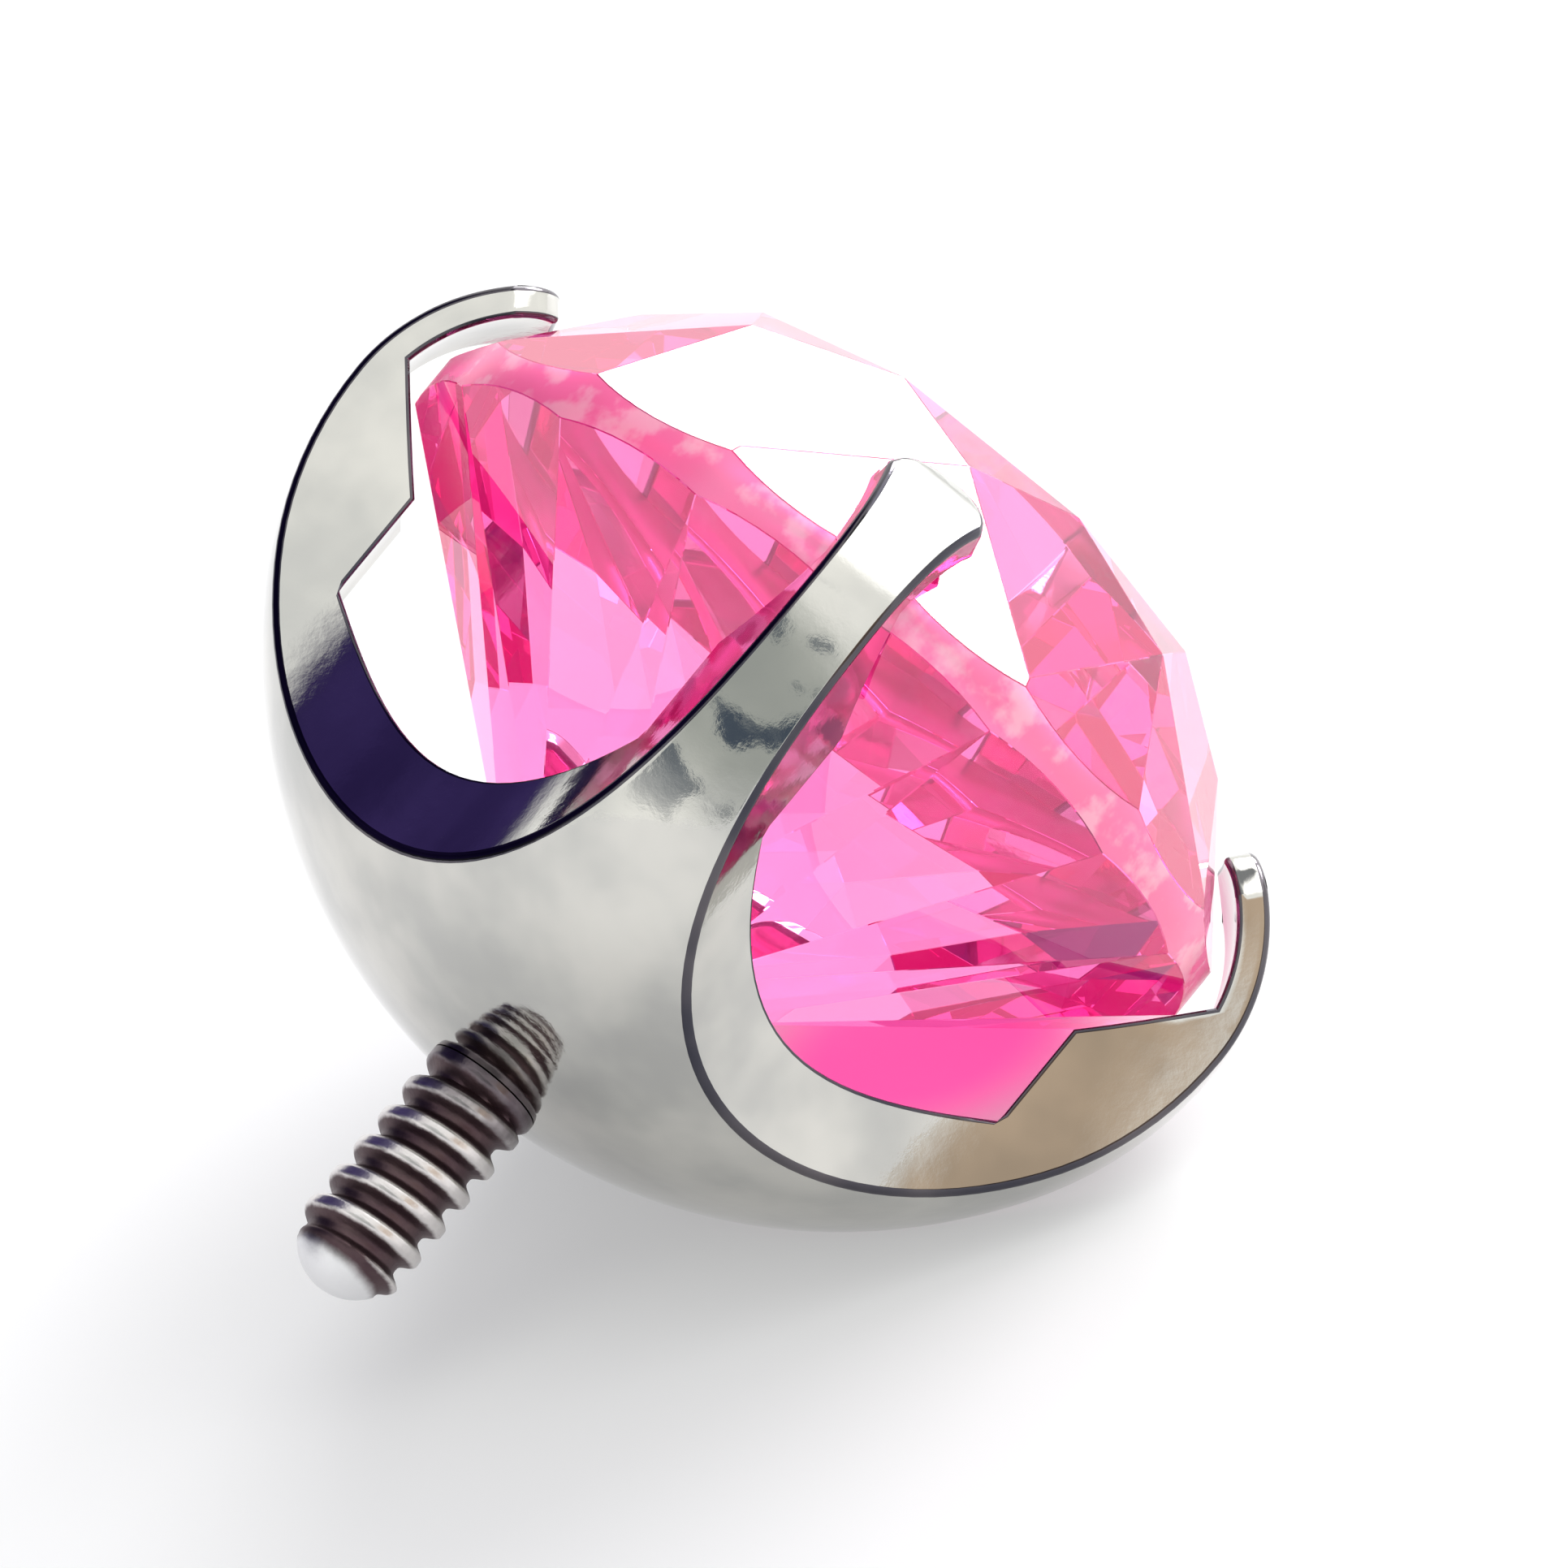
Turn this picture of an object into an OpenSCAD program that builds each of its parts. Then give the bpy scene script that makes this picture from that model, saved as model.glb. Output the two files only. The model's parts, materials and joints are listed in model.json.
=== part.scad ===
// Ear stud head: a round brilliant held by the four prongs of a polished cup, with a threaded
// pin behind it. It is modelled round its own axis and then laid on a table, as it comes to rest.

/* [Cup] */
// Widest diameter of the cup
cup_d = 7.96; // [7.8:0.02:8.2]
// Height of the widest level above the cup's round bottom
bowl_h = 3.5; // [3.4:0.05:3.6]
// Radius of the cup's side, seen in section
bowl_side_r = 2.9; // [2.8:0.05:3.0]
// Radius of the bored wall inside the cup
wall_r = 3.07; // [3.0:0.01:3.15]
// Height at which the bored wall turns into the sloping floor
wall_foot_h = 2.07; // [1.9:0.01:2.3]
// Radius of the flat floor
floor_r = 1.25; // [1.0:0.05:1.4]
// Height of the flat floor, which is also the thickness of the bottom
floor_h = 0.55; // [0.45:0.01:0.6]

/* [Windows and prongs] */
// Radius of the upright cut that opens a window
window_r = 4.42; // [4.32:0.02:4.44]
// Distance of that cut's axis from the axis of the cup
window_reach = 6.6; // [6.58:0.02:6.7]
// Radius in which the prongs bend over the stone, on their outside
bend_r = 1.6; // [1.55:0.01:1.66]
// Thickness of a prong above its seat
prong_t = 0.24; // [0.2:0.01:0.28]
// How far a prong is bent over, counted from upright
bend_angle = 60; // [52:1:62]
// Angle at which the bent part starts above the seat
notch_angle = 11; // [10:0.5:12]
// Radius of a prong's rounded end
tip_round = 0.42; // [0.36:0.01:0.44]

/* [Stone] */
// Diameter of the stone
stone_d = 7.0; // [6.8:0.02:7.02]
// Depth of the culet below the points of the main facets under the girdle
pavilion_h = 2.9; // [2.85:0.01:2.95]
// Height from those points to the points of the main facets above the girdle
girdle_h = 0.55; // [0.36:0.01:0.56]
// Height of the table above the points of the main facets of the crown
crown_h = 1.44; // [1.24:0.01:1.44]
// How far the points of the main facets stop short of the girdle's edge
point_inset = 0.06; // [0.04:0.01:0.1]
// Distance from the axis to a corner of the table
table_r = 2.1; // [1.9:0.02:2.2]
// Distance from the axis to the outer point of a star facet
star_r = 2.66; // [2.5:0.02:2.8]
// Distance from the axis to the inner point of the long facets under the girdle
half_r = 0.85; // [0.7:0.05:1.2]
// Gap between the stone and its seat
seat_gap = 0.03; // [0.02:0.005:0.05]
// How far the foot of the seat lies below the stone
seat_drop = 0.28; // [0.1:0.02:0.4]

/* [Pin] */
// Outer diameter of the thread
thread_d = 0.9; // [0.8:0.01:1.0]
// Depth of the thread
thread_depth = 0.1; // [0.06:0.01:0.12]
// Distance between turns of the thread
thread_pitch = 0.28; // [0.22:0.01:0.29]
// Turns of the thread
thread_turns = 5; // [4:1:5]
// Length of the pin below the cup
pin_l = 1.87; // [1.8:0.01:2.2]
// Height of the rounded end of the pin
dome_h = 0.19; // [0.12:0.01:0.22]
// Diameter of the pin's spigot in the bottom of the cup
spigot_d = 0.5; // [0.4:0.02:0.56]
// Gap round the spigot
pin_gap = 0.015; // [0.01:0.005:0.03]

/* [Hidden] */
$fn = 96;
ARC_STEP = 4;
REACH = 12;
BELOW = 1;
WINDOWS = 4;

// Cup outline: the bottom is an arc round a point on the axis, tangent to the arc of the side.
cup_r = cup_d / 2;
side_x = cup_r - bowl_side_r;
base_r = (cup_r * cup_r + bowl_h * bowl_h - 2 * cup_r * bowl_side_r) / (2 * (bowl_h - bowl_side_r));
join_angle = atan2(bowl_h - base_r, side_x);
bend_x = cup_r - bend_r;

// Stone levels, measured from the bottom of the cup.
stone_r = stone_d / 2;
point_r = stone_r - point_inset;
pavilion_slope = pavilion_h / point_r;
bend_inner_r = bend_r - prong_t;
notch = [bend_x + bend_inner_r * cos(notch_angle), bowl_h + bend_inner_r * sin(notch_angle)];
culet_z = notch.y + seat_gap - pavilion_slope * notch.x;
girdle_z = culet_z + pavilion_h;
crown_z = girdle_z + girdle_h;
table_z = crown_z + crown_h;
seat_z = culet_z + pavilion_slope * wall_r - seat_gap - seat_drop;

// Share of the thread's pitch that each flank takes
FLANK = 0.4;

// Facets: a main facet every 45 degrees, a star and a long facet half way between two mains.
MAINS = 8;
main_step = 360 / MAINS;
half_step = main_step / 2;
quarter_step = main_step / 4;
crown_slope = crown_h / (point_r - table_r);
table_side_r = table_r * cos(half_step);
star_z = table_z - crown_slope * (star_r * cos(half_step) - table_r);
star_slope = (table_z - star_z) / (star_r - table_side_r);
upper_slope = (star_z - crown_z) / ((point_r - star_r) * cos(quarter_step));
half_z = culet_z + pavilion_slope * half_r * cos(half_step);
lower_slope = (girdle_z - half_z) / ((point_r - half_r) * cos(quarter_step));
edge_z = girdle_z + lower_slope * cos(quarter_step) * point_inset;

// Rest: the stud lies with a window below. It touches the table with the stone's lower girdle
// edge, in the middle of that window, and with the edges of the two prongs beside it.
prong_edge = [for (r = [window_reach - window_r : 0.02 : cup_r]) [outer_z(r), prong_edge_drop(r)]];
rest_angle = min([for (p = prong_edge) atan2(stone_r - p.y, edge_z - p.x)]);
rest_h = stone_r * cos(rest_angle) - edge_z * sin(rest_angle);
root_r = thread_d / 2 - thread_depth;
dome_r = (root_r * root_r + dome_h * dome_h) / (2 * dome_h);
front_x = (dome_r - pin_l) * cos(rest_angle) - dome_r;
back_x = max(
    star_z * cos(rest_angle) + star_r * sin(rest_angle),
    table_z * cos(rest_angle) + table_side_r * sin(rest_angle)
);

// Height of the cup's outside, below its widest level, at a distance r from the axis
function outer_z(r) =
    r < base_r * cos(join_angle)
    ? base_r - sqrt(base_r * base_r - r * r)
    : bowl_h - sqrt(max(0, bowl_side_r * bowl_side_r - (r - side_x) * (r - side_x)));

// How far below the axis the metal beside a downward window reaches, at a distance r from it
function prong_edge_drop(r) =
    (r * r + window_reach * window_reach - window_r * window_r) / (2 * window_reach);

// Points of an arc round a centre, from one angle to another
function arc(centre, r, from, to) =
    let (steps = max(2, ceil(abs(to - from) / ARC_STEP)))
    [for (i = [0 : steps]) let (a = from + (to - from) * i / steps) centre + r * [cos(a), sin(a)]];

function cup_outline() = concat(
    arc([0, base_r], base_r, -90, join_angle),
    arc([side_x, bowl_h], bowl_side_r, join_angle, 0),
    arc([bend_x, bowl_h], bend_r, 0, bend_angle),
    arc([bend_x, bowl_h], bend_inner_r, bend_angle, notch_angle),
    [[wall_r, seat_z], [wall_r, wall_foot_h], [floor_r, floor_h], [0, floor_h]]
);

// One turn of the thread, from its root at z up one flank, along the crest and down to the root
function thread_turn(z) = [
    [thread_d / 2, z + FLANK * thread_pitch],
    [thread_d / 2, z + (1 - FLANK) * thread_pitch],
    [root_r, z + thread_pitch]
];

// The pin ends in a collar against the cup, and a thinner spigot stands in the cup's hole.
function pin_outline() = let (thread_z = dome_h - pin_l) concat(
    arc([0, dome_r - pin_l], dome_r, -90, -acos(root_r / dome_r)),
    [for (i = [0 : thread_turns - 1]) each thread_turn(thread_z + i * thread_pitch)],
    [[thread_d / 2, thread_z + (thread_turns + FLANK) * thread_pitch], [thread_d / 2, 0]],
    [[spigot_d / 2, 0], [spigot_d / 2, floor_h - pin_gap], [0, floor_h - pin_gap]]
);

// Rounds the end of the prong that stands along +X
module tip_cut() {
    lean = bend_angle - tip_round / bend_r * 180 / PI;
    translate([bend_x, 0, bowl_h]) rotate([0, -lean, 0]) difference() {
        translate([bend_inner_r / 2, -bend_r, 0]) cube([bend_r, 2 * bend_r, 2 * tip_round]);
        rotate([0, 90, 0]) cylinder(r = tip_round, h = 2 * bend_r);
    }
}

module prong_cup() {
    color("gainsboro") laid() difference() {
        rotate_extrude() polygon(cup_outline());
        for (i = [0 : WINDOWS - 1]) {
            rotate(i * 360 / WINDOWS) translate([window_reach, 0, -BELOW]) cylinder(r = window_r, h = REACH);
            rotate((i + 0.5) * 360 / WINDOWS) tip_cut();
        }
        translate([0, 0, -BELOW]) cylinder(r = spigot_d / 2 + pin_gap, h = REACH);
    }
}

// Pyramid of equal facets, one of which faces turn. Each facet lies at a distance r from the
// axis at height z and slopes down outwards; the pyramid stands on the level of base.
module facet_pyramid(sides, turn, r, z, slope, base) {
    apex = z + slope * r;
    base_apothem = (apex - base) / slope;
    translate([0, 0, base]) rotate(turn + 180 / sides) linear_extrude(height = apex - base, scale = 0)
        circle(r = base_apothem / cos(180 / sides), $fn = sides);
}

// The same, upside down, for the facets below the girdle
module lower_facet_pyramid(sides, turn, r, z, slope, base) {
    mirror([0, 0, 1]) facet_pyramid(sides, turn, r, -z, slope, -base);
}

module stone() {
    main = half_step;
    point_apothem = point_r * cos(quarter_step);
    color("hotpink") laid() intersection() {
        translate([0, 0, culet_z]) rotate(quarter_step / 2) cylinder(r = stone_r, h = table_z - culet_z);
        facet_pyramid(MAINS, main, point_r, crown_z, crown_slope, culet_z);
        facet_pyramid(MAINS, 0, table_side_r, table_z, star_slope, culet_z);
        facet_pyramid(2 * MAINS, quarter_step, point_apothem, crown_z, upper_slope, culet_z);
        lower_facet_pyramid(MAINS, main, point_r, girdle_z, pavilion_slope, table_z);
        lower_facet_pyramid(2 * MAINS, quarter_step, point_apothem, girdle_z, lower_slope, table_z);
    }
}

module threaded_pin() {
    color("slategray") laid() rotate_extrude() polygon(pin_outline());
}

// Lays the stud down, with its middle over the origin
module laid() {
    translate([-(front_x + back_x) / 2, 0, rest_h]) rotate([0, 90 - rest_angle, 0]) children();
}

prong_cup();
stone();
threaded_pin();
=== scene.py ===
# %% [markdown]
# # A prong-set ear stud on a white table
#
# The stud is a screw-in end: a round pink stone in a polished steel cup, with a short threaded
# pin behind it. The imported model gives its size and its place. It lies on a table, so its own
# axis leans. Each piece is modelled upright, in millimetres, round that axis, because every
# formula is simple there. One matrix then lays it down and turns millimetres into metres.

# %% Load the frame
import json
import math

import bpy
from mathutils import Matrix, Vector


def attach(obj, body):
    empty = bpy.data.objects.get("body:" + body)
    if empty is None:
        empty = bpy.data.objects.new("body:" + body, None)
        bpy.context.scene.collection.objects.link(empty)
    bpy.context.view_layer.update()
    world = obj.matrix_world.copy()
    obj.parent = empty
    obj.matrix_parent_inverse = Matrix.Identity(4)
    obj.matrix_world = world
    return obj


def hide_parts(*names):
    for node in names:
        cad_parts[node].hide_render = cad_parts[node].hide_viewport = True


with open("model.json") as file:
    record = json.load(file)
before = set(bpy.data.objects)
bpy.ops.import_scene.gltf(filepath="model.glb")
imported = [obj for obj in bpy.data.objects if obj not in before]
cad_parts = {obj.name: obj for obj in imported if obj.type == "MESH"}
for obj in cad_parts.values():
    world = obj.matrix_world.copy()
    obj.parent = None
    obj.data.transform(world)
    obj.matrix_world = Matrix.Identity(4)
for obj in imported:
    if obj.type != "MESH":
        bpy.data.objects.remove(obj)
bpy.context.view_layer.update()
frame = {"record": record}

# %% [markdown]
# ## Where the stud's own axis lies
#
# The record's mount gives a point on the axis of the pin and the direction of its rounded end.
# From these come the bottom of the cup and the three directions of the stud: through a window,
# across, and from the pin to the stone. One window faces down, so its direction lies in the
# XZ plane of the table.

# %% The matrix that lays a piece down
MM = 0.001
PIN_L = 1.87
DOME_H = 0.19

thread = next(mount for mount in frame["record"]["mounts"] if mount["kind"] == "pin")
up_axis = -Vector(thread["axis"]).normalized()
window_axis = Vector((up_axis.z, 0, -up_axis.x))
across_axis = Vector((0, 1, 0))
mount_z = -(PIN_L - DOME_H) / 2
cup_bottom = Vector(thread["pos_m"]) - up_axis * mount_z * MM

LAID = Matrix((window_axis, across_axis, up_axis)).transposed().to_4x4()
LAID = Matrix.Translation(cup_bottom) @ LAID @ Matrix.Scale(MM, 4)
print("the axis leans", round(math.degrees(math.asin(up_axis.z)), 2), "degrees")

# %% [markdown]
# ## A few habits of the workbench
#
# Operators work on what is selected, and the loaded nodes are selected, so each piece starts
# with nothing selected. Vertices that should be one are merged by a distance that is small next
# to any detail. When a piece is finished it is laid down, and its place is applied to its mesh.

# %% Helpers for modelling
MERGE = 1e-5


def start_clean():
    if bpy.context.mode != "OBJECT":
        bpy.ops.object.mode_set(mode="OBJECT")
    bpy.ops.object.select_all(action="DESELECT")


def take(piece):
    """Makes piece the only one that is selected."""
    start_clean()
    piece.select_set(True)
    bpy.context.view_layer.objects.active = piece


def edit(step, **settings):
    """Runs one edit-mode operator on the whole of the active piece."""
    bpy.ops.object.mode_set(mode="EDIT")
    bpy.ops.mesh.select_all(action="SELECT")
    step(**settings)
    bpy.ops.object.mode_set(mode="OBJECT")


def apply_modifier(piece, kind, **settings):
    modifier = piece.modifiers.new(kind.title(), kind)
    for name, value in settings.items():
        setattr(modifier, name, value)
    take(piece)
    bpy.ops.object.modifier_apply(modifier=modifier.name)


def open_slots(piece, count):
    """Makes room on a piece for that many finishes, which come later."""
    for _ in range(count):
        piece.data.materials.append(None)


def lay_down(piece, node):
    """Lays the finished piece on the table, where it stands for a node of the model."""
    take(piece)
    piece.matrix_world = LAID
    bpy.ops.object.transform_apply(location=True, rotation=True, scale=True)
    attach(piece, "root")
    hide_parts(node)
    print(piece.name, "has", len(piece.data.polygons), "faces")


def polar(r, angle, z):
    return Vector((r * math.cos(angle), r * math.sin(angle), z))


def blend(a, b, share):
    return a + (b - a) * share


# %% [markdown]
# ## The cup's section
#
# The outside of the cup is three arcs that run into each other: the round bottom, the side, and
# the prong that bends in over the stone. A point on it is named by the direction that its
# surface faces, from -90 degrees at the bottom to the end of the bend. Inside are a flat floor,
# a sloping floor, a bored wall, a seat under the stone and the inner side of the bend. The seat
# has the slope of the stone's main facets, so two of the stone's sizes are needed here already.

# %% The section of the cup
CUP_R = 3.98
BOWL_H = 3.5
SIDE_R = 2.9
BEND_R = 1.6
PRONG_T = 0.24
BEND_ANGLE = math.radians(60)
NOTCH_ANGLE = math.radians(11)
WALL_R = 3.07
WALL_FOOT_H = 2.07
FLOOR_R = 1.25
FLOOR_H = 0.55
HOLE_R = 0.265
SEAT_GAP = 0.03
SEAT_DROP = 0.28
POINT_R = 3.44
PAVILION_H = 2.9

pavilion_slope = PAVILION_H / POINT_R
side_x = CUP_R - SIDE_R
bend_x = CUP_R - BEND_R
base_r = (CUP_R ** 2 + BOWL_H ** 2 - 2 * CUP_R * SIDE_R) / (2 * (BOWL_H - SIDE_R))
join_angle = math.atan2(BOWL_H - base_r, side_x)
inner_bend_r = BEND_R - PRONG_T
notch_r = bend_x + inner_bend_r * math.cos(NOTCH_ANGLE)
notch_z = BOWL_H + inner_bend_r * math.sin(NOTCH_ANGLE)
culet_z = notch_z + SEAT_GAP - pavilion_slope * notch_r
seat_z = culet_z + pavilion_slope * WALL_R - SEAT_GAP - SEAT_DROP
print("the stone's tip is", round(culet_z - FLOOR_H, 2), "mm above the floor")


def outside(facing):
    """Distance from the axis and height of the outside, where it faces that way."""
    if facing < join_angle:
        x, z, r = 0, base_r, base_r
    elif facing < 0:
        x, z, r = side_x, BOWL_H, SIDE_R
    else:
        x, z, r = bend_x, BOWL_H, BEND_R
    return x + r * math.cos(facing), z + r * math.sin(facing)


def bottom_facing(r):
    return -math.acos(r / base_r)


def floor_z(r):
    share = max(0, (r - FLOOR_R) / (WALL_R - FLOOR_R))
    return blend(FLOOR_H, WALL_FOOT_H, share)


# %% [markdown]
# ## The windows
#
# Each window is a round cut parallel to the stud's axis, centred outside the cup. What is left
# at a distance r from the axis is a stretch of metal on each side of a prong's middle. Its half
# angle is a full 45 degrees near the axis, and shrinks quickly where the cut begins.

# %% How wide a prong is
WINDOW_R = 4.42
WINDOW_REACH = 6.6
QUARTER = math.radians(45)
TIP_ROUND = 0.42
HALVINGS = 40

window_foot_r = WINDOW_REACH - WINDOW_R
tip_lean = BEND_ANGLE - TIP_ROUND / BEND_R
print("the foot of a window is", round(window_foot_r, 2), "mm from the axis")


def half_angle(r):
    """Half the angle that the metal of a prong takes up, at a distance r from the axis."""
    if r <= window_foot_r:
        return QUARTER
    cosine = (r * r + WINDOW_REACH ** 2 - WINDOW_R ** 2) / (2 * r * WINDOW_REACH)
    return QUARTER - math.acos(cosine)


def window_edge_r(turn):
    """Distance from the axis of the cut's edge, a turn round the cut's own centre away."""
    square = WINDOW_REACH ** 2 + WINDOW_R ** 2 - 2 * WINDOW_REACH * WINDOW_R * math.cos(turn)
    return math.sqrt(square)


def bend_end(ring_r, u):
    """Where a bent prong ends, so that seen from outside its tip is round."""
    low, high = NOTCH_ANGLE, BEND_ANGLE
    for _ in range(HALVINGS):
        middle = (low + high) / 2
        r = bend_x + ring_r * math.cos(middle)
        along = max(0, ring_r * math.sin(middle - tip_lean))
        aside = r * math.sin(u * half_angle(r))
        inside = math.hypot(along, aside) < TIP_ROUND or middle < tip_lean
        low, high = (middle, high) if inside else (low, middle)
    return low


# %% [markdown]
# ## One quarter of the cup, as a bent bar
#
# A boolean cut would leave slivers along its edge, and polished metal shows every sliver. So
# the metal starts as a flat bar instead: a grid of rows along the prong and columns across it,
# extruded to a thickness. Each vertex is then moved to its place in the cup. Rows follow the
# section, columns the prong's width and layers the way from outside to inside. Near the foot
# of a window the rows are pulled towards the axis, so that they meet the cut's edge squarely.

# %% Rows of the bar
PULL = 0.7
PULL_FADE = 1.2
ROWS = {"floor": 6, "slope": 7, "window": 14, "bottom": 5, "side": 10, "seat": 4, "bend": 16}


def section_rows():
    """One row each: outside edge, inside edge, and the pull on its middle, or a bend's share."""
    rows = []
    for i in range(ROWS["floor"]):
        r = blend(HOLE_R, FLOOR_R, i / ROWS["floor"])
        rows.append(("flat", r, r, 0))
    for i in range(ROWS["slope"]):
        share = i / ROWS["slope"]
        rows.append(("flat", blend(FLOOR_R, window_foot_r, share), None, PULL * share))
    last_turn = math.acos(
        (WINDOW_REACH ** 2 + WINDOW_R ** 2 - WALL_R ** 2) / (2 * WINDOW_REACH * WINDOW_R)
    )
    for i in range(ROWS["window"]):
        share = i / ROWS["window"]
        pull = PULL * (1 - share) ** PULL_FADE
        rows.append(("flat", window_edge_r(last_turn * share), None, pull))
    rise = ROWS["bottom"] + ROWS["side"]
    start = bottom_facing(WALL_R)
    for i in range(rise):
        if i < ROWS["bottom"]:
            facing = blend(start, join_angle, i / ROWS["bottom"])
        else:
            facing = blend(join_angle, 0, (i - ROWS["bottom"]) / ROWS["side"])
        rows.append(("wall", outside(facing), (WALL_R, blend(WALL_FOOT_H, seat_z, i / rise)), 0))
    for i in range(ROWS["seat"]):
        share = i / ROWS["seat"]
        inner = (blend(WALL_R, notch_r, share), blend(seat_z, notch_z, share))
        rows.append(("wall", outside(NOTCH_ANGLE * share), inner, 0))
    for i in range(ROWS["bend"] + 1):
        rows.append(("bend", None, None, i / ROWS["bend"]))
    return rows


def edge_points(row, u):
    """(r, angle, z) outside and inside, on one row of the bar, u from -1 to 1 across it."""
    kind, outer, inner, value = row
    if kind == "flat":
        r = outer - value * (1 - u * u)
        angle = u * half_angle(outer)
        return (r, angle, outside(bottom_facing(r))[1]), (r, angle, floor_z(r))
    if kind == "wall":
        return tuple((r, u * half_angle(r), z) for r, z in (outer, inner))
    points = []
    for ring_r in (BEND_R, inner_bend_r):
        facing = blend(NOTCH_ANGLE, bend_end(ring_r, u), value)
        r = bend_x + ring_r * math.cos(facing)
        points.append((r, u * half_angle(r), BOWL_H + ring_r * math.sin(facing)))
    return tuple(points)


print("the bar has", len(section_rows()), "rows")

# %% Bend the bar into a quarter of the cup
COLUMNS = 22
EDGE_COLUMN = 0.84
LAYERS = 3
CUP_FINISHES = POLISHED, BORED, ROUNDED = range(3)


def column_place(column):
    """Columns are even, but for a wider one along each edge that leaves room for its rounding."""
    if column in (0, COLUMNS):
        return -1 if column == 0 else 1
    return blend(-EDGE_COLUMN, EDGE_COLUMN, (column - 1) / (COLUMNS - 2))


def bar_point(rows, row, column, layer):
    u = column_place(column)
    share = layer / LAYERS
    outer, inner = edge_points(rows[row], u)
    r, angle, z = (blend(a, b, share) for a, b in zip(outer, inner))
    if abs(u) == 1 and r > window_foot_r:
        angle = math.copysign(half_angle(r), u)
    return polar(r, angle, z)


def bent_quarter():
    rows = section_rows()
    last = len(rows) - 1
    start_clean()
    bpy.ops.mesh.primitive_grid_add(x_subdivisions=last, y_subdivisions=COLUMNS, size=1)
    quarter = bpy.context.object
    for vertex in quarter.data.vertices:
        x, y, _ = vertex.co
        vertex.co = (round((x + 0.5) * last), round((y + 0.5) * COLUMNS), 0)
    bpy.ops.object.mode_set(mode="EDIT")
    for _ in range(LAYERS):
        bpy.ops.mesh.extrude_region_move(TRANSFORM_OT_translate={"value": (0, 0, 1)})
    bpy.ops.mesh.select_all(action="DESELECT")
    bpy.ops.object.mode_set(mode="OBJECT")
    foot = ROWS["floor"] + ROWS["slope"]
    for face in quarter.data.polygons:
        side = face.center.y in (0, COLUMNS)
        face.select = side and face.center.x < foot
        face.material_index = BORED if face.center.z == LAYERS else POLISHED
    bpy.ops.object.mode_set(mode="EDIT")
    bpy.ops.mesh.delete(type="FACE")
    bpy.ops.object.mode_set(mode="OBJECT")
    for vertex in quarter.data.vertices:
        row, column, layer = (round(value) for value in vertex.co)
        vertex.co = bar_point(rows, row, column, layer)
    return quarter


# %% [markdown]
# ## Four quarters make the cup
#
# The quarter is copied three times, each copy turned on by 90 degrees so that a prong stands
# between two windows. The copies are joined, and the vertices that meet between the windows'
# feet and the pin's hole are merged. Polishing rounds every edge a little, so a small bevel with
# a finish of its own goes on each sharp one. Only the blunt ridges inside, round the seat and
# the floor, stay as they were turned. Weighted normals keep the broad surfaces true.

# %% Join and polish the cup
PRONGS = 4
EDGE_ROUND = 0.045
EDGE_STEPS = 3
SHARP = math.radians(55)
CREASE = math.radians(36)
FLAT_WEIGHT = 60


def prong_cup():
    first = bent_quarter()
    copies = []
    for i in range(PRONGS):
        mesh = first.data.copy()
        mesh.transform(Matrix.Rotation((1 + 2 * i) * QUARTER, 4, "Z"))
        copies.append(bpy.data.objects.new("Quarter", mesh))
        bpy.context.scene.collection.objects.link(copies[-1])
    bpy.data.objects.remove(first)
    take(copies[0])
    for copy in copies:
        copy.select_set(True)
    bpy.ops.object.join()
    cup = bpy.context.object
    cup.name = "polished_cup"
    open_slots(cup, len(CUP_FINISHES))
    edit(bpy.ops.mesh.remove_doubles, threshold=MERGE)
    edit(bpy.ops.mesh.normals_make_consistent, inside=False)
    # Each sharp edge's bevel takes the rounded-edge finish, which is painted shade.
    apply_modifier(
        cup, "BEVEL", width=EDGE_ROUND, segments=EDGE_STEPS, limit_method="ANGLE",
        angle_limit=SHARP, use_clamp_overlap=False, loop_slide=False, material=ROUNDED,
    )
    take(cup)
    bpy.ops.object.shade_smooth_by_angle(angle=CREASE)
    apply_modifier(cup, "WEIGHTED_NORMAL", weight=FLAT_WEIGHT, keep_sharp=True)
    return cup


cup = prong_cup()
lay_down(cup, "prong_cup")

# %% [markdown]
# ## The stone
#
# A stone is cut by grinding flat facets on a round blank, and that is how this one is made: a
# cylinder is bisected by one plane for each facet, and the part outside the plane is cleared
# away. The crown has eight main facets, eight small star facets round the table and sixteen
# narrow ones along the girdle. Below the girdle are eight mains and sixteen long, narrow facets.

# %% Levels and slopes of the facets
STONE_R = 3.5
GIRDLE_H = 0.55
CROWN_H = 1.44
TABLE_R = 2.1
STAR_R = 2.66
HALF_R = 0.85
MAINS = 8

main_step = 2 * math.pi / MAINS
half_step = main_step / 2
quarter_step = main_step / 4
girdle_z = culet_z + PAVILION_H
crown_z = girdle_z + GIRDLE_H
table_z = crown_z + CROWN_H
crown_slope = CROWN_H / (POINT_R - TABLE_R)
star_z = table_z - crown_slope * (STAR_R * math.cos(half_step) - TABLE_R)
star_slope = (table_z - star_z) / (STAR_R - TABLE_R * math.cos(half_step))
upper_slope = (star_z - crown_z) / ((POINT_R - STAR_R) * math.cos(quarter_step))
half_z = culet_z + pavilion_slope * HALF_R * math.cos(half_step)
lower_slope = (girdle_z - half_z) / ((POINT_R - HALF_R) * math.cos(quarter_step))
print("the stone is", round(table_z - culet_z, 2), "mm deep")


def facet_ring(count, turn, r, z, slope, side):
    """Planes of equal facets: a point and an outward normal each. side is 1 above, -1 below."""
    planes = []
    for i in range(count):
        angle = turn + i * 2 * math.pi / count
        normal = Vector((slope * math.cos(angle), slope * math.sin(angle), side)).normalized()
        planes.append((polar(r, angle, z), normal))
    return planes


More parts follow.
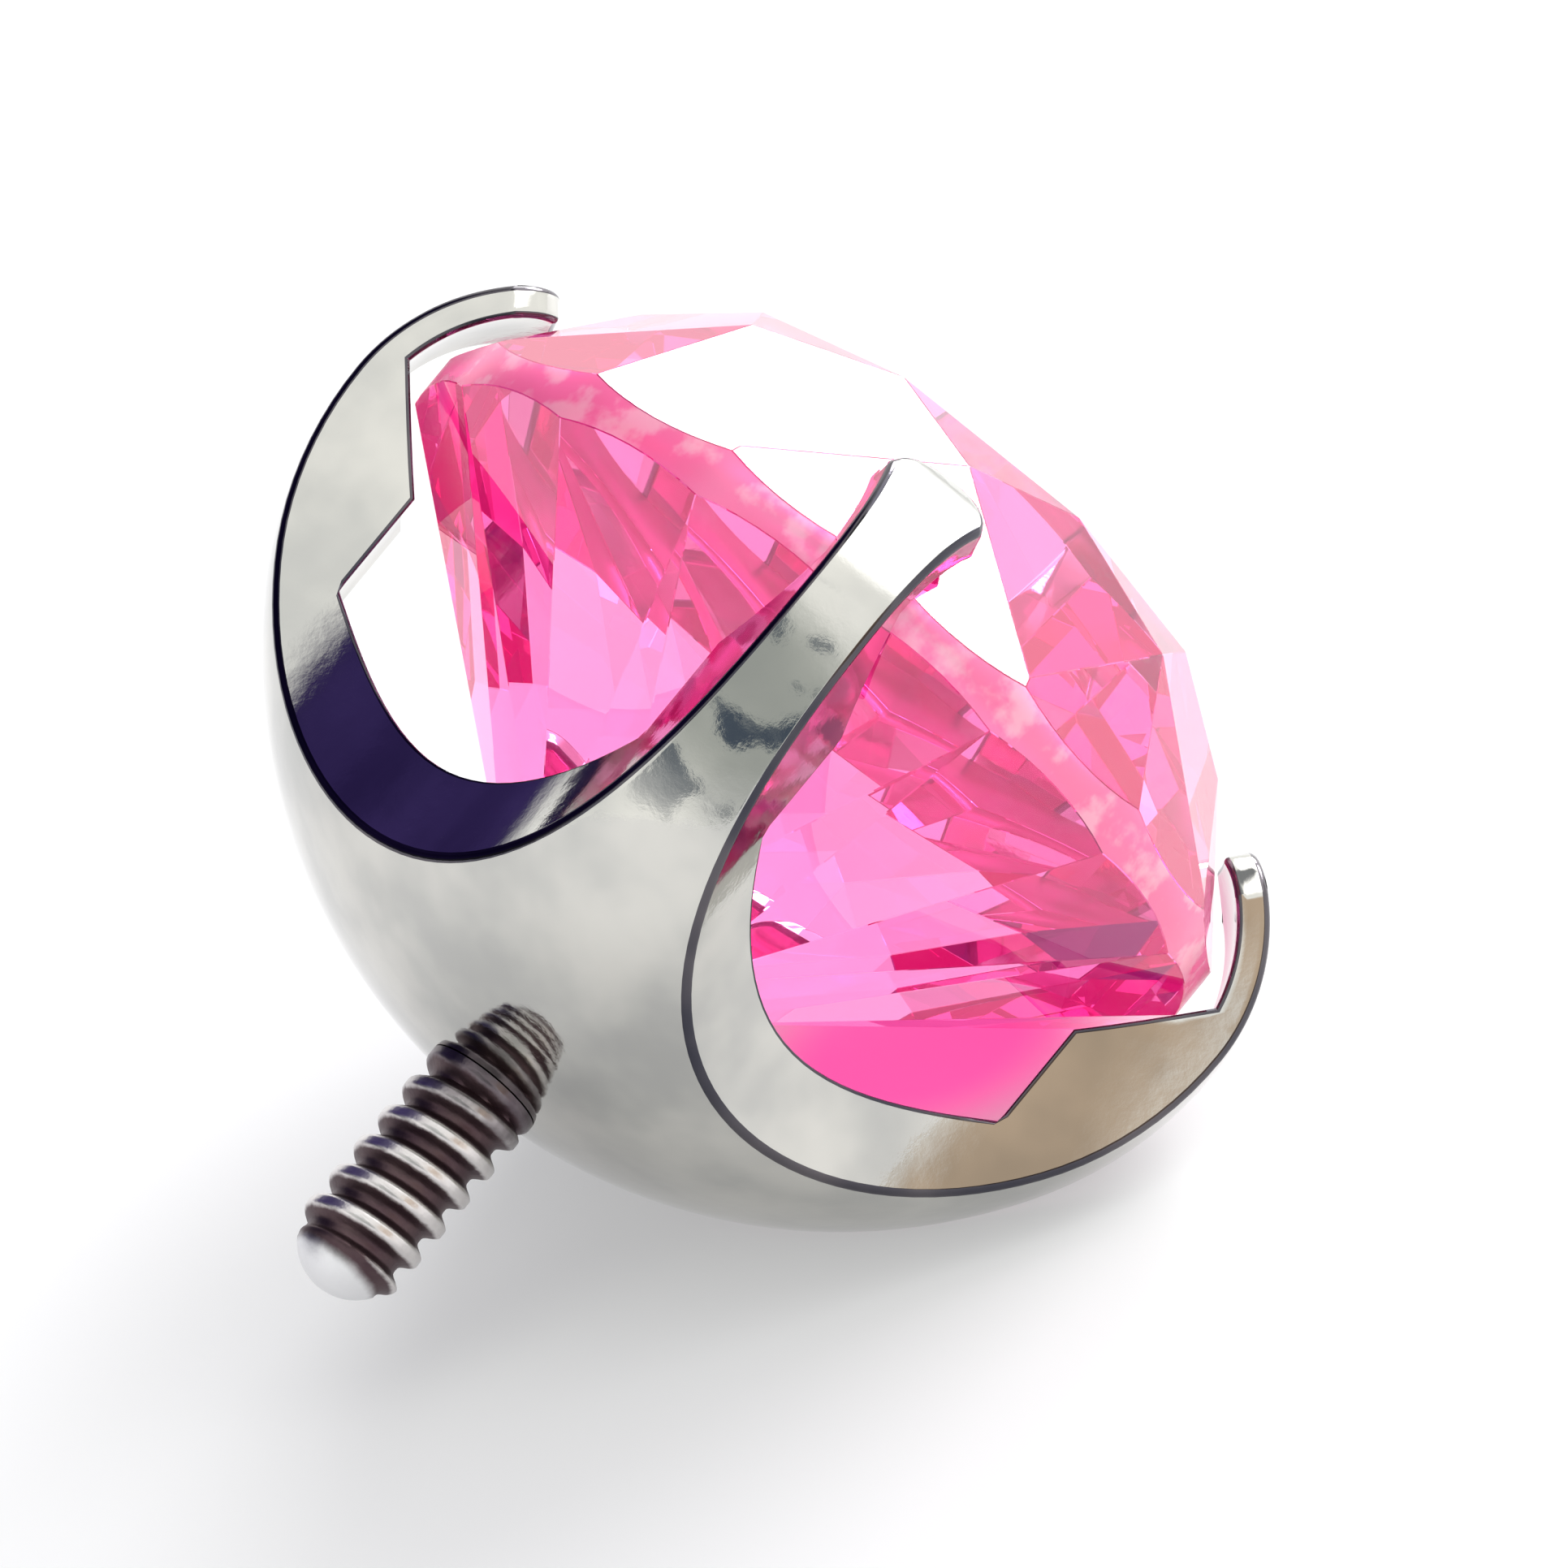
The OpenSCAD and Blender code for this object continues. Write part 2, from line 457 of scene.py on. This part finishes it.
def facet_planes():
    point_apothem = POINT_R * math.cos(quarter_step)
    star_apothem = TABLE_R * math.cos(half_step)
    return (
        facet_ring(MAINS, half_step, POINT_R, crown_z, crown_slope, 1)
        + facet_ring(MAINS, 0, star_apothem, table_z, star_slope, 1)
        + facet_ring(2 * MAINS, quarter_step, point_apothem, crown_z, upper_slope, 1)
        + facet_ring(MAINS, half_step, POINT_R, girdle_z, pavilion_slope, -1)
        + facet_ring(2 * MAINS, quarter_step, point_apothem, girdle_z, lower_slope, -1)
    )


# %% Cut the stone
GIRDLE_SIDES = 128
FACET_EDGE = 0.006
FACET_ANGLE = math.radians(5)
UPRIGHT = 0.02
STONE_FINISHES = FACETED, GROUND = range(2)


def pink_stone():
    start_clean()
    bpy.ops.mesh.primitive_cylinder_add(
        vertices=GIRDLE_SIDES, radius=STONE_R, depth=table_z - culet_z,
        location=(0, 0, (table_z + culet_z) / 2),
    )
    stone = bpy.context.object
    stone.name = "pink_stone"
    open_slots(stone, len(STONE_FINISHES))
    bpy.ops.object.transform_apply(location=True, rotation=False, scale=False)
    for point, normal in facet_planes():
        edit(
            bpy.ops.mesh.bisect, plane_co=point, plane_no=normal, use_fill=True,
            clear_outer=True, threshold=MERGE,
        )
    edit(bpy.ops.mesh.remove_doubles, threshold=MERGE)
    apply_modifier(
        stone, "BEVEL", width=FACET_EDGE, segments=1, limit_method="ANGLE",
        angle_limit=FACET_ANGLE, use_clamp_overlap=True,
    )
    for face in stone.data.polygons:
        if abs(face.normal.z) < UPRIGHT:
            face.use_smooth = True
            face.material_index = GROUND
    return stone


stone = pink_stone()
lay_down(stone, "stone")

# %% [markdown]
# ## The threaded pin
#
# The pin is turned from a rod: a rounded end, nearly six turns of thread, a collar that follows
# the round of the cup, and a thinner spigot inside it. A ball is a closed shape of rings with a
# pole at each end, so it is stretched into the pin ring by ring. The thread is not a stack of
# rings: its depth depends on height and on the angle round the pin together, which makes one
# right-hand helix that runs out at both ends.

# %% Rings of the pin
THREAD_R = 0.45
THREAD_DEPTH = 0.1
PITCH = 0.28
TURNS = 5.9
FLANK_UP = (0.08, 0.42)
FLANK_DOWN = (0.6, 0.94)
RUN_IN = 0.5
RUN_OUT = 0.45
SPIGOT_R = 0.25
PIN_GAP = 0.015
SHOULDER_GAP = 0.006
PIN_SIDES = 96
RINGS = {"dome": 14, "thread": 108, "collar": 4, "shoulder": 3, "spigot": 3, "end": 3}

root_r = THREAD_R - THREAD_DEPTH
dome_r = (root_r ** 2 + DOME_H ** 2) / (2 * DOME_H)
thread_z = DOME_H - PIN_L
collar_z = thread_z + TURNS * PITCH
end_z = FLOOR_H - PIN_GAP
print("the thread is", round(collar_z - thread_z, 2), "mm long")


def shoulder_z(r):
    """Height of the collar's end, which follows the cup's round bottom."""
    return outside(bottom_facing(r))[1] - SHOULDER_GAP


def pin_rings():
    """(r, z, share of the thread's depth that is there) of each ring, from the rounded end up."""
    rings = []
    dome_turn = math.asin(root_r / dome_r)
    for i in range(1, RINGS["dome"] + 1):
        turn = dome_turn * i / RINGS["dome"]
        rings.append((dome_r * math.sin(turn), dome_r * (1 - math.cos(turn)) - PIN_L, 0))
    for i in range(1, RINGS["thread"] + 1):
        share = i / RINGS["thread"]
        rings.append((root_r, blend(thread_z, collar_z, share), 1))
    for i in range(1, RINGS["collar"] + 1):
        rings.append((THREAD_R, blend(collar_z, shoulder_z(THREAD_R), i / RINGS["collar"]), 0))
    for i in range(1, RINGS["shoulder"] + 1):
        r = blend(THREAD_R, SPIGOT_R, i / RINGS["shoulder"])
        rings.append((r, shoulder_z(r), 0))
    for i in range(1, RINGS["spigot"] + 1):
        rings.append((SPIGOT_R, blend(0, end_z, i / RINGS["spigot"]), 0))
    for i in range(1, RINGS["end"]):
        rings.append((SPIGOT_R * (1 - i / RINGS["end"]), end_z, 0))
    return rings


def smooth_step(low, high, value):
    share = min(1, max(0, (value - low) / (high - low)))
    return share * share * (3 - 2 * share)


def thread_height(z, angle):
    """Share of the thread's depth at a height and an angle, from 0 in the root to 1 on a crest."""
    turn = ((z - thread_z) / PITCH - angle / (2 * math.pi)) % 1
    tooth = smooth_step(*FLANK_UP, turn) - smooth_step(*FLANK_DOWN, turn)
    run_in = smooth_step(0, RUN_IN * PITCH, z - thread_z)
    run_out = smooth_step(collar_z - RUN_OUT * PITCH, collar_z, z)
    return max(tooth * run_in, run_out)


# %% Stretch a ball into the pin
PIN_CREASE = math.radians(40)


def threaded_pin():
    rings = pin_rings()
    start_clean()
    bpy.ops.mesh.primitive_uv_sphere_add(
        segments=PIN_SIDES, ring_count=len(rings) + 1, radius=1
    )
    pin = bpy.context.object
    pin.name = "turned_pin"
    open_slots(pin, 1)
    for vertex in pin.data.vertices:
        x, y, z = vertex.co
        number = round(math.acos(max(-1, min(1, -z))) / math.pi * (len(rings) + 1))
        if number == 0:
            vertex.co = (0, 0, -PIN_L)
        elif number == len(rings) + 1:
            vertex.co = (0, 0, end_z)
        else:
            r, ring_z, threaded = rings[number - 1]
            angle = math.atan2(y, x)
            if threaded:
                r += THREAD_DEPTH * thread_height(ring_z, angle)
            vertex.co = polar(r, angle, ring_z)
    edit(bpy.ops.mesh.normals_make_consistent, inside=False)
    take(pin)
    bpy.ops.object.shade_smooth_by_angle(angle=PIN_CREASE)
    return pin


pin = threaded_pin()
lay_down(pin, "threaded_pin")

# %% [markdown]
# ## Writing materials as sums
#
# A node tree is easier to read as a formula. A Wire is one output socket that can be added,
# subtracted and multiplied, and each operation puts a Math node into the tree. A Recipe makes
# any other kind of node from its type, its settings and the values of its sockets.

# %% Wires and recipes
class Wire:
    def __init__(self, recipe, socket):
        self.recipe = recipe
        self.socket = socket

    def maths(self, operation, first, second):
        return self.recipe.node(
            "ShaderNodeMath", {"operation": operation}, {0: first, 1: second}
        )

    def __add__(self, other):
        return self.maths("ADD", self, other)

    def __radd__(self, other):
        return self.maths("ADD", other, self)

    def __sub__(self, other):
        return self.maths("SUBTRACT", self, other)

    def __rsub__(self, other):
        return self.maths("SUBTRACT", other, self)

    def __mul__(self, other):
        return self.maths("MULTIPLY", self, other)

    def __rmul__(self, other):
        return self.maths("MULTIPLY", other, self)


class Recipe:
    def __init__(self, tree):
        self.tree = tree
        tree.nodes.clear()

    def node(self, kind, settings=None, inputs=None, output=0):
        made = self.tree.nodes.new(kind)
        for name, value in (settings or {}).items():
            setattr(made, name, value)
        for name, value in (inputs or {}).items():
            if isinstance(value, Wire):
                self.tree.links.new(value.socket, made.inputs[name])
            else:
                made.inputs[name].default_value = value
        if len(made.outputs) == 0:
            return made
        return Wire(self, made.outputs[output])

    def noise(self, place, scale, detail, roughness=0.5):
        return self.node(
            "ShaderNodeTexNoise", None,
            {"Vector": place, "Scale": scale, "Detail": detail, "Roughness": roughness},
        )

    def mix(self, share, first, second):
        """A colour between two others."""
        return self.node(
            "ShaderNodeMix", {"data_type": "RGBA"}, {0: share, 6: first, 7: second}, output=2
        )

    def smooth(self, value, low, high):
        return self.node(
            "ShaderNodeMapRange", {"interpolation_type": "SMOOTHSTEP"},
            {"Value": value, "From Min": low, "From Max": high},
        )


def new_material(name, piece, finish=0):
    """A material's recipe, with the material put on one of the piece's finishes."""
    material = bpy.data.materials.new(name)
    material.use_nodes = True
    piece.data.materials[finish] = material
    print(name, "goes on", piece.name)
    return Recipe(material.node_tree)


def colour(red, green, blue):
    return (red, green, blue, 1)


# %% Where a point is in the stud's own frame
def upright_millimetres(recipe):
    """The point that is shaded, in millimetres and turned back upright round the stud's axis."""
    place = recipe.node("ShaderNodeTexCoord", output="Object")
    back = LAID.inverted()
    turn = back.to_euler()
    return recipe.node(
        "ShaderNodeMapping", {"vector_type": "POINT"},
        {"Vector": place, "Location": back.translation, "Rotation": turn, "Scale": back.to_scale()},
    )


# %% [markdown]
# ## Polished steel
#
# Steel is a metal without a colour of its own, so nearly all that shows in it is the room. What
# makes it look real is small: the polish is not the same all over, and the surface swims a
# little, which bends the reflections. The bored inside is brighter, and its colour holds a
# painted pink reflection of the stone. The rounded edges are painted nearly black, a painted
# shade that draws a thin dark line round each window and prong.

# %% The cup's three finishes
CLOUDS = {"scale": 0.9, "detail": 3}
CLOUD_EDGE = (0.3, 0.7)
GRAIN = {"scale": 14, "detail": 4, "roughness": 0.6}
POLISH = 0.03
HAZE = 0.12
GRAIN_SHARE = 0.08
SWIM = {"Strength": 0.35, "Distance": 0.00003}


def polished_steel(name, finish, dim, bright):
    recipe = new_material(name, cup, finish)
    place = upright_millimetres(recipe)
    clouds = recipe.noise(place, **CLOUDS)
    grain = recipe.noise(place, **GRAIN)
    tint = recipe.mix(recipe.smooth(clouds, *CLOUD_EDGE), dim, bright)
    roughness = POLISH + HAZE * clouds * grain
    swim = recipe.node("ShaderNodeBump", None, {**SWIM, "Height": clouds + GRAIN_SHARE * grain})
    shader = recipe.node(
        "ShaderNodeBsdfPrincipled", None,
        {"Base Color": tint, "Metallic": 1, "Roughness": roughness, "Normal": swim},
    )
    recipe.node("ShaderNodeOutputMaterial", None, {"Surface": shader})


polished_steel("PolishedSteel", POLISHED, colour(0.46, 0.46, 0.44), colour(0.62, 0.61, 0.57))
# Bored inside: brighter steel tinted pink, a painted reflection of the stone.
polished_steel("BoredSteelPaintedPink", BORED, colour(0.92, 0.74, 0.82), colour(0.96, 0.82, 0.88))
# Rounded edges: nearly black steel, a painted shade that outlines each window and prong.
polished_steel("RoundedEdgePaintedShade", ROUNDED, colour(0.05, 0.05, 0.065), colour(0.12, 0.11, 0.12))

# %% [markdown]
# ## The pin's steel
#
# The thread is cut and not polished. Its colour follows the distance from the axis: bright on
# the crests and dark in the grooves. The rounded end is faced clean, and the collar beside the
# cup gets painted shade where it meets the cup, dark and mottled as the grooves are.

# %% The thread's steel
PIN_GRAIN = {"scale": 9, "detail": 4, "roughness": 0.6}
PIN_MOTTLE = {"scale": 3.5, "detail": 3, "roughness": 0.6}
PIN_RELIEF = {"Strength": 0.5, "Distance": 0.00001}
CREST_EDGE, CREST_RAGGED = (root_r + 0.085, THREAD_R + 0.02), 0.05
DOME_EDGE, DOME_RAGGED = (thread_z - 0.03, thread_z + 0.06), 0.04
# Where the painted shade by the cup starts and ends, and how ragged its edge is.
CUP_SHADE_EDGE, CUP_SHADE_RAGGED = (-0.25, 0.13), 0.5
GROOVE_ROUGHNESS = 0.42
CREST_POLISH = 0.16
GRAIN_ROUGHNESS = 0.05
GROOVE = colour(0.035, 0.015, 0.03), colour(0.16, 0.11, 0.11)
BRIGHT = colour(0.84, 0.82, 0.80), colour(0.56, 0.52, 0.52)
# Colours of the painted shade on the collar by the cup.
CUP_SHADE = colour(0.05, 0.03, 0.045), colour(0.26, 0.23, 0.24)
FACED = colour(0.82, 0.82, 0.83)


def thread_steel():
    recipe = new_material("ThreadSteel", pin)
    place = upright_millimetres(recipe)
    flat = recipe.node(
        "ShaderNodeVectorMath", {"operation": "MULTIPLY"}, {0: place, 1: (1, 1, 0)}
    )
    distance = recipe.node(
        "ShaderNodeVectorMath", {"operation": "LENGTH"}, {0: flat}, output="Value"
    )
    height = recipe.node("ShaderNodeSeparateXYZ", None, {"Vector": place}, output="Z")
    grain = recipe.noise(place, **PIN_GRAIN)
    mottle = recipe.noise(place, **PIN_MOTTLE)
    crest = recipe.smooth(distance + CREST_RAGGED * grain, *CREST_EDGE)
    faced = 1 - recipe.smooth(height + DOME_RAGGED * grain, *DOME_EDGE)
    # Painted shade: the top of the thread and the collar turn dark and mottled where they meet the
    # cup.
    shade_by_cup = recipe.smooth(height + CUP_SHADE_RAGGED * mottle, *CUP_SHADE_EDGE)
    on_crest = recipe.mix(shade_by_cup, recipe.mix(grain, *BRIGHT), recipe.mix(mottle, *CUP_SHADE))
    # Colour by distance from the axis: bright on the crests, dark in the grooves.
    tint = recipe.mix(crest, recipe.mix(mottle, *GROOVE), on_crest)
    tint = recipe.mix(faced, tint, FACED)
    roughness = GROOVE_ROUGHNESS - CREST_POLISH * crest + GRAIN_ROUGHNESS * grain
    relief = recipe.node("ShaderNodeBump", None, {**PIN_RELIEF, "Height": grain})
    shader = recipe.node(
        "ShaderNodeBsdfPrincipled", None,
        {"Base Color": tint, "Metallic": 1, "Roughness": roughness, "Normal": relief},
    )
    recipe.node("ShaderNodeOutputMaterial", None, {"Surface": shader})


thread_steel()

# %% [markdown]
# ## The pink stone
#
# The stone is clear, and most of its colour comes from inside: light loses green and some blue
# on its way through, so a long path is a deeper pink than a short one. It also has a faint
# painted glow, which keeps its darkest facets pink. The girdle is only ground, so it is
# a veil of pale pink with icy flecks and shows no clear picture.

# %% The stone's two finishes
STONE_IOR = 1.78
PINK = colour(1, 0.0, 0.6)
PINK_DENSITY = 125
# Faint painted glow of the stone, which keeps its darkest facets pink.
PAINTED_GLOW = colour(0.085, 0.003, 0.03)
FLECK = colour(1, 0.86, 0.94)
FLECKS = {"scale": 2.6, "detail": 4}
FLECK_EDGE = (0.46, 0.60)


def clear_pink(name, finish, tint, roughness, clear, flecked=False):
    recipe = new_material(name, stone, finish)
    if flecked:
        flecks = recipe.noise(upright_millimetres(recipe), **FLECKS)
        tint = recipe.mix(recipe.smooth(flecks, *FLECK_EDGE), tint, FLECK)
    shader = recipe.node(
        "ShaderNodeBsdfPrincipled", None,
        {
            "Base Color": tint, "Roughness": roughness, "IOR": STONE_IOR,
            "Transmission Weight": clear, "Emission Color": PAINTED_GLOW, "Emission Strength": 1,
        },
    )
    inside = recipe.node(
        "ShaderNodeVolumeAbsorption", None, {"Color": PINK, "Density": PINK_DENSITY}
    )
    recipe.node("ShaderNodeOutputMaterial", None, {"Surface": shader, "Volume": inside})


clear_pink("PinkStone", FACETED, colour(1, 0.55, 0.80), roughness=0, clear=1)
clear_pink(
    "GroundGirdle", GROUND, colour(1, 0.36, 0.62), roughness=0.25, clear=0.6, flecked=True
)

# %% [markdown]
# ## The table
#
# The stud lies on a plain white table, with no edge in sight. The table glows a little, which
# keeps the shadow soft and pale. A clear stone gathers the light that passes through it, and
# throws a pink patch on the table under the cup. Following such light ray by ray takes very
# long, so the patch is painted on the table instead.

# %% The table
TABLE_SIDE = 1.2
TABLE_ROUGHNESS = 0.6
TABLE_WHITE, TABLE_GLOW = colour(0.48, 0.48, 0.48), colour(0.42, 0.42, 0.42)
PATCH_PINK, PATCH_GLOW = colour(0.7, 0.26, 0.44), colour(0.95, 0.09, 0.38)
PATCH_MIDDLE = (0.0018, 0.0002, 0)
PATCH_REACH = (0.0023, 0.0021, 1)
PATCH_CORE = 0.3


def white_table():
    start_clean()
    bpy.ops.mesh.primitive_plane_add(size=TABLE_SIDE, location=(0, 0, 0))
    table = bpy.context.object
    table.name = "white_table"
    open_slots(table, 1)
    recipe = new_material("WhiteTable", table)
    place = recipe.node("ShaderNodeTexCoord", output="Object")
    aside = recipe.node(
        "ShaderNodeVectorMath", {"operation": "SUBTRACT"}, {0: place, 1: PATCH_MIDDLE}
    )
    aside = recipe.node(
        "ShaderNodeVectorMath", {"operation": "DIVIDE"}, {0: aside, 1: PATCH_REACH}
    )
    distance = recipe.node(
        "ShaderNodeVectorMath", {"operation": "LENGTH"}, {0: aside}, output="Value"
    )
    patch = 1 - recipe.smooth(distance, PATCH_CORE, 1)
    shader = recipe.node(
        "ShaderNodeBsdfPrincipled", None,
        {
            "Base Color": recipe.mix(patch, TABLE_WHITE, PATCH_PINK),
            "Roughness": TABLE_ROUGHNESS,
            "Emission Color": recipe.mix(patch, TABLE_GLOW, PATCH_GLOW),
            "Emission Strength": 1,
        },
    )
    recipe.node("ShaderNodeOutputMaterial", None, {"Surface": shader})
    print("the table is", TABLE_SIDE, "m wide")


white_table()

# %% [markdown]
# ## The room's light
#
# Polished metal shows the room, so the room is made as carefully as the metal. It is a pale
# room with a broad bright window on the side that the stone looks at, and two round lamps in
# that window, which light up the facets of the crown. Behind the stud stands a dark blue screen.
# On the photographer's side are dim corners and ragged dark blots. Each is a soft round patch
# of sky: the azimuth and the elevation of its middle, the angles at which it starts to fade and
# is gone, and how ragged its edge is.

# %% The room
PALE = colour(1.4, 1.4, 1.38)
PALE_SHADE = colour(1.12, 1.13, 1.12)
BLOT = colour(0.10, 0.13, 0.18)
BLOTS = {"scale": 4.2, "detail": 2}
BLOT_EDGE = (0.53, 0.60)
BLOT_PATCH = (-140, 28, 12, 45, 0.04)
SCREEN = colour(0.012, 0.006, 0.05)
SCREEN_SHEEN = colour(0.07, 0.045, 0.20)
SCREEN_PATCH = (113, 42, 32, 44, 0.15)
DIM_PATCHES = [
    ((-140, 30, 15, 38, 0.04), colour(0.62, 0.65, 0.62)),
    ((-84, 14, 6, 20, 0.04), colour(0.72, 0.56, 0.42)),
    ((135, 6, 16, 32, 0.04), colour(0.10, 0.10, 0.12)),
    ((5, 68, 7, 16, 0.04), colour(0.30, 0.31, 0.33)),
]
BRIGHT_PATCHES = [
    ((-35, 48, 14, 26, 0.04), colour(2.4, 2.4, 2.4)),
    ((12, 30, 26, 32, 0.04), colour(2.6, 2.6, 2.65)),
    ((35, 23, 9, 12, 0), colour(13, 13, 13.2)),
    ((2, 27, 13, 16, 0), colour(13, 13, 13.2)),
]


def toward(azimuth, elevation):
    a, e = math.radians(azimuth), math.radians(elevation)
    return Vector((math.cos(e) * math.cos(a), math.cos(e) * math.sin(a), math.sin(e)))


def room_light():
    world = bpy.data.worlds.new("Room")
    bpy.context.scene.world = world
    world.use_nodes = True
    recipe = Recipe(world.node_tree)
    direction = recipe.node("ShaderNodeTexCoord", output="Generated")
    blots = recipe.noise(direction, **BLOTS)

    def patch(azimuth, elevation, inner, outer, ragged):
        """1 within the inner angle of a direction, fading to 0 at the outer angle."""
        along = recipe.node(
            "ShaderNodeVectorMath", {"operation": "DOT_PRODUCT"},
            {0: direction, 1: toward(azimuth, elevation)}, output="Value",
        )
        edge = along + ragged * (blots - 0.5)
        return recipe.smooth(edge, math.cos(math.radians(outer)), math.cos(math.radians(inner)))

    light = recipe.mix(blots, PALE, PALE_SHADE)
    for place, tint in DIM_PATCHES:
        light = recipe.mix(patch(*place), light, tint)
    light = recipe.mix(patch(*BLOT_PATCH) * recipe.smooth(blots, *BLOT_EDGE), light, BLOT)
    screen = recipe.mix(blots, SCREEN, SCREEN_SHEEN)
    light = recipe.mix(patch(*SCREEN_PATCH), light, screen)
    for place, tint in BRIGHT_PATCHES:
        light = recipe.mix(patch(*place), light, tint)
    glow = recipe.node("ShaderNodeBackground", None, {"Color": light, "Strength": 1.0})
    recipe.node("ShaderNodeOutputWorld", None, {"Surface": glow})
    print("the room has", len(DIM_PATCHES) + len(BRIGHT_PATCHES) + 2, "patches")


room_light()

# %% [markdown]
# ## The camera
#
# The camera looks along the same line as in the photograph: from behind the cup and a little
# above it, so that the pin points down to the left. The directions are those of the picture's
# right and up in the stud's own frame. The lens is long, as for a close view from afar.

# %% The camera
PICTURE_RIGHT = Vector((0.7568, -0.6243, -0.1951)).normalized()
PICTURE_UP = Vector((0.4590, 0.2948, 0.8385)).normalized()
CAMERA_DISTANCE = 0.3
FRAME_WIDTH = 0.01124
SENSOR = 36
AIM_HEIGHT = 5
AIM_RIGHT = -0.939
AIM_UP = -1.581


def portrait_camera():
    data = bpy.data.cameras.new("Portrait")
    camera = bpy.data.objects.new("Portrait", data)
    bpy.context.scene.collection.objects.link(camera)
    bpy.context.scene.camera = camera
    back = PICTURE_RIGHT.cross(PICTURE_UP).normalized()
    up = back.cross(PICTURE_RIGHT)
    turn = Matrix((PICTURE_RIGHT, up, back)).transposed().to_4x4()
    target = LAID @ Vector((0, 0, AIM_HEIGHT)) + (PICTURE_RIGHT * AIM_RIGHT + up * AIM_UP) * MM
    camera.matrix_world = Matrix.Translation(target + back * CAMERA_DISTANCE) @ turn
    data.sensor_width = SENSOR
    data.lens = SENSOR * CAMERA_DISTANCE / FRAME_WIDTH
    data.clip_start = CAMERA_DISTANCE / 100
    data.clip_end = CAMERA_DISTANCE * 10
    print("the camera is", CAMERA_DISTANCE, "m away")


portrait_camera()
bpy.context.scene.view_settings.view_transform = "Standard"

# %% [markdown]
# ## How far light is followed
#
# A ray runs to and fro between the facets before it leaves the stone, so it is followed for a
# dozen bounces. Light that reaches the table through the stone is left out, since the pink patch
# stands for it.

# %% The most bounces
MOST_BOUNCES = {"max": 12, "transmission": 12, "glossy": 6, "diffuse": 2}

for kind, most in MOST_BOUNCES.items():
    setattr(bpy.context.scene.cycles, kind + "_bounces", most)
bpy.context.scene.cycles.caustics_reflective = False
bpy.context.scene.cycles.caustics_refractive = False
print("light is followed for", MOST_BOUNCES["max"], "bounces at most")
